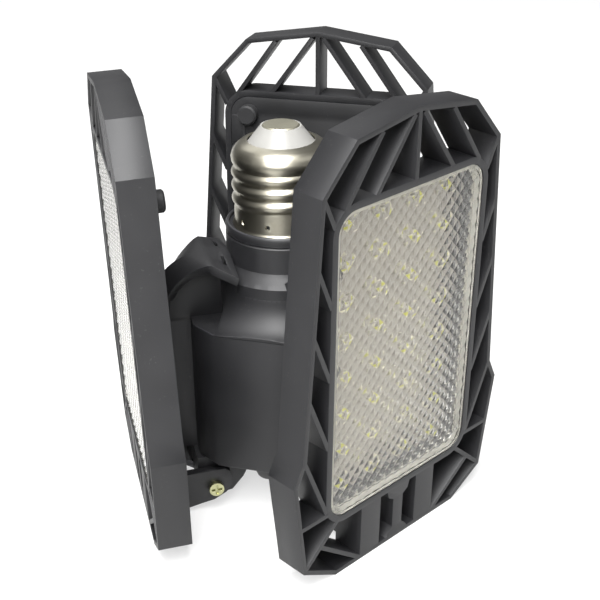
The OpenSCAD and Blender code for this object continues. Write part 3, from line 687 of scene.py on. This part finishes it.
# %% Bottom cover with its screw towers
cover = soften(copy_of("bottom_cover", "cover"), COVER_EDGE, charcoal, charcoal_edge_highlight)
TOWER_AT, TOWER_LOW, TOWER_TOP_R, TOWER_LOW_R, TOWER_WALL = 16.2, -98.1, 5.6, 3.6, 1.0
TOWER_HOLLOW = 2.5
towers = []
for a in THIRDS:
    x, y = face_point(a + 60, TOWER_AT, 0)
    bpy.ops.object.select_all(action="DESELECT")
    bpy.ops.mesh.primitive_cone_add(vertices=48, radius1=TOWER_LOW_R * MM, radius2=TOWER_TOP_R * MM,
                                    depth=(CORE_LOW - TOWER_LOW) * MM,
                                    location=Vector((x, y, (CORE_LOW + TOWER_LOW) / 2)) * MM)
    tower = settle(bpy.context.object, "tower")
    choose(tower, lambda face: face.normal.z < -0.9, "FACE")
    bpy.ops.mesh.inset(thickness=TOWER_WALL * MM)
    extrude(z=TOWER_HOLLOW)
    done()
    towers.append(soften(tower, BODY_EDGE, charcoal, charcoal_edge_highlight, 35))
stands_for(join([cover] + towers, "cover"), "body", "body_plastic", "bottom_cover")

# %% [markdown]
# ## The rolled thread
#
# The shell is one rolled sheet. Its wall is a profile spun round the axis: the sloping shoulder with
# the broad top crest, the thread's root, the straight skirt and the flared lip. The thread is one
# wave drawn in section and wound up by a Screw modifier, which makes it right-handed, and its two
# ends are drawn in step by step, so that it runs out into the wall. Solidify gives the thickness.

# %% The wall of the shell
PITCH, ROOT_R, DEPTH, SKIRT_R = 3.63, 12.23, 0.85, 12.5
shoulder = [(8.95, -4.3), (10.7, -5.0), (11.9, -6.0), (12.7, -7.2), (13.05, -8.3), (12.9, -9.3)]
skirt = [(SKIRT_R, -22.6), (SKIRT_R, -26.2), (12.75, -26.7), (13.1, -27.2)]
wall = lathe("wall", shoulder + [(ROOT_R, -10.4), (ROOT_R, -21.9)] + skirt, 192, filled=False)
print("The wall has", len(wall.data.polygons), "faces")

# %% Two punch marks in the skirt
DENT_R, DENT_DEPTH = 0.7, 0.25
DENTS = ((-98, -24.6), (-61, -24.3))


def punch(sheet):
    """Presses a small ball into the sheet at each mark."""
    for azimuth, z in DENTS:
        x, y = face_point(azimuth, SKIRT_R + DENT_R - DENT_DEPTH, 0)
        bpy.ops.object.select_all(action="DESELECT")
        bpy.ops.mesh.primitive_ico_sphere_add(subdivisions=3, radius=DENT_R * MM,
                                              location=Vector((x, y, z)) * MM)
        cut(sheet, settle(bpy.context.object, "punch"))


print("The skirt gets", len(DENTS), "marks")

# %% Wind the thread and run out its ends
TURNS, STEPS, FADE_STEPS, THREAD_LOW = 3.25, 96, 30, -21.2
wave = [i / 12 - 0.5 for i in range(13)]
thread = draw("thread", [(ROOT_R + DEPTH * (0.5 + 0.5 * math.cos(2 * math.pi * w)), 0, THREAD_LOW + PITCH * w)
                         for w in wave], filled=False)
apply_modifier(thread, "SCREW", axis="Z", angle=2 * math.pi * TURNS, screw_offset=PITCH * TURNS * MM,
               steps=round(STEPS * TURNS), render_steps=round(STEPS * TURNS), iterations=1)


def on_station(vertex, step):
    """Whether a vertex belongs to the section that is wound on by this many steps."""
    away = (math.atan2(vertex.co.y, vertex.co.x) / (2 * math.pi) * STEPS - step) % STEPS
    centre = THREAD_LOW + PITCH * step / STEPS
    return min(away, STEPS - away) < 0.1 and abs(vertex.co.z / MM - centre) < PITCH * 0.49


for n in range(FADE_STEPS):
    shrink = 1 - DEPTH / (ROOT_R + DEPTH) * (1 - math.sin(math.pi / 2 * n / FADE_STEPS))
    for step in (n, round(STEPS * TURNS) - n):
        choose(thread, lambda vertex: on_station(vertex, step))
        bpy.ops.transform.resize(value=(shrink, shrink, 1), center_override=(0, 0, 0))
        done()
rise = max(v.co.z for v in thread.data.vertices) / MM
print("The thread climbs to", round(rise, 2), "mm")
for sheet in (wall, thread):
    close_up(sheet)
    apply_modifier(sheet, "SOLIDIFY", thickness=0.35 * MM, offset=-1)
punch(wall)
for sheet in (wall, thread):
    dress(sheet, nickel)
shell = join([wall, thread], "threaded_shell")
smooth(shell, 60)
stands_for(shell, "body", "shell_nickel", "screw_shell")

# %% [markdown]
# ## Lenses
#
# The lens carries small square prisms, turned by 45 degrees, inside a narrow flat border. They are
# cut the way a mould would press them: a grid whose squares are poked into shallow pyramids is
# closed to a block in front of the lens, trimmed to the border's inside, and taken away from a
# copy of the lens. It is modelled once, in panel 1's own frame, and copied round.

# %% Panel frame
REST_TILT, HINGE_DEPTH = 1.7, 20.1
panel_frame = (Matrix.Translation(Vector((0, -HINGE_R, HINGE_Z)) * MM)
               @ Matrix.Rotation(math.radians(REST_TILT), 4, "X")
               @ Matrix.Translation(Vector((0, -HINGE_DEPTH, 0)) * MM))
print("Panel 1 starts at", [round(c, 4) for c in panel_frame.translation])

# %% The lattice of prisms
PRISM, RELIEF = 2.52, 0.27
LENS_HALF, LENS_LOW, LENS_HIGH, LENS_FACE = 26.35, 12.15, 97.05, 0.3
BORDER, CORNER, CORNER_STEPS = 0.9, 4.7, 8
CELLS = 40

bpy.ops.object.select_all(action="DESELECT")
bpy.ops.mesh.primitive_grid_add(x_subdivisions=CELLS, y_subdivisions=CELLS, size=CELLS * PRISM * MM)
lattice = bpy.context.object
edit(lattice)
bpy.ops.mesh.poke(offset=RELIEF * MM)
bpy.ops.mesh.select_all(action="DESELECT")
bpy.ops.mesh.select_mode(type="EDGE")
bpy.ops.mesh.select_non_manifold()
bpy.ops.mesh.extrude_region_move(TRANSFORM_OT_translate={"value": (0, 0, 3 * MM)})
bpy.ops.mesh.edge_face_add()
bpy.ops.mesh.select_all(action="SELECT")
bpy.ops.mesh.normals_make_consistent(inside=False)
done()
lens_mid = (LENS_LOW + LENS_HIGH) / 2
stand = Matrix.Rotation(math.radians(90), 4, "X") @ Matrix.Rotation(math.radians(45), 4, "Z")
lattice_place = Matrix.Translation(Vector((0, LENS_FACE + RELIEF, lens_mid)) * MM)
lattice.matrix_world = panel_frame @ lattice_place @ stand
settle(lattice, "lattice")
print("The lattice has", len(lattice.data.polygons), "faces")

# %% Trim it to the border and press it into the lens
half, low, high = LENS_HALF - BORDER, LENS_LOW + BORDER, LENS_HIGH - BORDER
corners = ((half, high, 0), (-half, high, 90), (-half, low, 180), (half, low, 270))
window = []
for x, z, start in corners:
    corner_x = x - math.copysign(CORNER, x)
    corner_z = z - math.copysign(CORNER, z - lens_mid)
    for i in range(CORNER_STEPS + 1):
        t = math.radians(start + 90 / CORNER_STEPS * i)
        window.append((corner_x + CORNER * math.cos(t), corner_z + CORNER * math.sin(t)))
cut(lattice, prism("window", window, (-1, 1.5), panel_frame), "INTERSECT")
lens = copy_of("lens_1", "prism_lens_1")
dress(lens, acrylic.material)
apply_modifier(lens, "BEVEL", width=0.2 * MM, segments=2, limit_method="ANGLE", angle_limit=math.radians(40))
cut(lens, lattice)
smooth(lens, 10)
lenses = [lens] + [turned_copy(lens, 120 * (k - 1), f"prism_lens_{k}") for k in PANELS[1:]]
for k, piece in zip(PANELS, lenses):
    stands_for(piece, f"panel_{k}", "lens_clear", f"lens_{k}")

# %% [markdown]
# ## Lamp chips
#
# A chip is a white frame round a shallow cup that is filled with yellow phosphor. One chip starts
# as a box, its front is inset twice and pushed in for the cup, and a bevel rounds its edges. Two
# Array modifiers copy it over the board, because a set made by hand would drift off the grid.

# %% Chips
CHIP, CHIP_FRONT, TRAY_MID = (3.5, 0.8, 2.8), 5.6, 54.6
COLUMNS, ROWS, COLUMN_PITCH, ROW_PITCH = 4, 8, 12.0, 10.5
CHIP_FRAME, CUP_SLOPE, CUP_DEPTH = 0.35, 0.2, 0.3

bpy.ops.object.select_all(action="DESELECT")
bpy.ops.mesh.primitive_cube_add(size=1)
chip = bpy.context.object
chip.scale = Vector(CHIP) * MM
settle(chip, "chip")
dress(chip, chip_body, phosphor)
choose(chip, lambda face: face.normal.y < -0.9, "FACE")
bpy.ops.mesh.inset(thickness=CHIP_FRAME * MM)
bpy.ops.mesh.inset(thickness=CUP_SLOPE * MM, depth=-CUP_DEPTH * MM)
chip.active_material_index = 1
bpy.ops.object.material_slot_assign()
done()
apply_modifier(chip, "BEVEL", width=0.08 * MM, segments=2, limit_method="ANGLE", angle_limit=math.radians(40))
print("One chip has", len(chip.data.polygons), "faces")

# %% Copy the chip over the board, and the set round the lamp
chip.matrix_world = Matrix.Translation(Vector((-COLUMN_PITCH * (COLUMNS - 1) / 2, CHIP_FRONT + CHIP[1] / 2,
                                               TRAY_MID - ROW_PITCH * (ROWS - 1) / 2)) * MM)
settle(chip, "chip")
for count, step in ((COLUMNS, (COLUMN_PITCH, 0, 0)), (ROWS, (0, 0, ROW_PITCH))):
    apply_modifier(chip, "ARRAY", count=count, use_relative_offset=False, use_constant_offset=True,
                   constant_offset_displace=Vector(step) * MM)
chip.matrix_world = panel_frame
settle(chip, "lamp_chips_1")
sets = [chip] + [turned_copy(chip, 120 * (k - 1), f"lamp_chips_{k}") for k in PANELS[1:]]
for k, piece in zip(PANELS, sets):
    stands_for(piece, f"panel_{k}", "lamp_chip", f"led_chips_{k}")

# %% [markdown]
# ## Hinge screws
#
# The heads are small pan heads with a cross recess. The plain solid's heads are too wide, so on a
# copy of panel 1's pair their rims are scaled in towards the hinge's axis, which leaves the recess
# alone. Scaling is simpler here than modelling new heads. The other pairs are turned copies.

# %% Smaller screw heads
HEAD_FROM, HEAD_R, HEAD_WANTED_R, RECESS_REACH = 11.95, 2.9, 2.1, 1.9
hinge_axis = Vector((0, -HINGE_R, HINGE_Z)) * MM
screws = copy_of("hinge_screws_1", "pan_screws_1")
choose(screws, lambda v: abs(v.co.x) > HEAD_FROM * MM and (v.co - hinge_axis).yz.length > RECESS_REACH * MM)
shrink = HEAD_WANTED_R / HEAD_R
bpy.ops.transform.resize(value=(1, shrink, shrink), center_override=hinge_axis)
done()
dress(screws, yellow_zinc)
apply_modifier(screws, "BEVEL", width=0.15 * MM, segments=2, limit_method="ANGLE",
               angle_limit=math.radians(50))
smooth(screws, 40)
pairs = [screws] + [turned_copy(screws, 120 * (k - 1), f"pan_screws_{k}") for k in PANELS[1:]]
for k, piece in zip(PANELS, pairs):
    stands_for(piece, f"panel_{k}", "yellow_screw", f"hinge_screws_{k}")

# %% [markdown]
# ## Light
#
# The picture has one broad, soft light between the camera and its left, and another nearly
# overhead, which makes the ledges the brightest plastic. Weaker lights from the right and behind
# open the shadows. The lamps are large areas, so the shadows are soft. The world is white where
# the camera or a lens sees it, and much dimmer as a light.

# %% World
WORLD_LIGHT = 0.2

world = bpy.data.worlds.new("tent")
bpy.context.scene.world = world
world.use_nodes = True
ground = world.node_tree.nodes["Background"]
rays = world.node_tree.nodes.new("ShaderNodeLightPath")
seen = world.node_tree.nodes.new("ShaderNodeMath")
seen.operation = "MAXIMUM"
strength = world.node_tree.nodes.new("ShaderNodeMapRange")
strength.inputs["To Min"].default_value = WORLD_LIGHT
strength.inputs["To Max"].default_value = 1.0
link = world.node_tree.links.new
link(rays.outputs["Is Camera Ray"], seen.inputs[0])
link(rays.outputs["Is Transmission Ray"], seen.inputs[1])
link(seen.outputs[0], strength.inputs["Value"])
link(strength.outputs["Result"], ground.inputs["Strength"])
ground.inputs["Color"].default_value = (1, 1, 1, 1)
print("World light", WORLD_LIGHT)

# %% Lamps
TARGET = Vector((0, 0, -50)) * MM


def lamp(name, azimuth, elevation, distance, size, power):
    """A square soft light that looks at the lamp's middle from a direction."""
    light = bpy.data.lights.new(name, "AREA")
    light.size, light.energy = size, power
    holder = bpy.data.objects.new(name, light)
    bpy.context.scene.collection.objects.link(holder)
    a, e = math.radians(azimuth), math.radians(elevation)
    out = Vector((math.sin(a) * math.cos(e), -math.cos(a) * math.cos(e), math.sin(e)))
    holder.location = TARGET + out * distance
    holder.rotation_euler = (-out).to_track_quat("-Z", "Y").to_euler()
    return holder


lamp("key", -56, 40, 1.0, 0.5, 13)
lamp("overhead", -58, 70, 0.9, 0.5, 15)
lamp("fill", 25, 35, 1.2, 0.9, 2.2)
lamp("back", 160, 50, 1.2, 0.8, 3)
print("Four lamps are lit")

# %% [markdown]
# ## Floor
#
# The floor is pale and plain, and it keeps the lamp's shadow. To come out near white without more
# light on the lamp, its shader is a mix: what the camera sees is mostly a steady white, and the
# rest is an ordinary matt surface that the shadow falls on.

# %% Floor
FLOOR_SIZE = 12.0
STEADY_WHITE = 0.6

bpy.ops.object.select_all(action="DESELECT")
bpy.ops.mesh.primitive_plane_add(size=FLOOR_SIZE, location=(0, 0, cad_box[0][2]))
floor = bpy.context.object
floor.name = "floor"
paper = Finish("white_paper", Roughness=0.9)
paper.wear("Base Color", paper.blend(paper.noise(0.3, 3.0), linear("#f4f4f3"), linear("#f7f7f6")))
light_path = paper.node("ShaderNodeLightPath", output="Is Camera Ray")
glossy = Wire(paper, light_path.socket.node.outputs["Is Glossy Ray"])
through = Wire(paper, light_path.socket.node.outputs["Is Transmission Ray"])
glow = paper.node("ShaderNodeEmission", {}, {"Strength": 1.0})
share = light_path._math("MAXIMUM", light_path._math("MAXIMUM", light_path, glossy), through) * STEADY_WHITE
mixed = paper.node("ShaderNodeMixShader", {}, {0: share, 2: glow})
paper.tree.links.new(paper.shader.outputs[0], mixed.socket.node.inputs[1])
paper.tree.links.new(mixed.socket, paper.tree.nodes["Material Output"].inputs["Surface"])
dress(floor, paper.material)
print("Floor at", round(cad_box[0][2], 4))
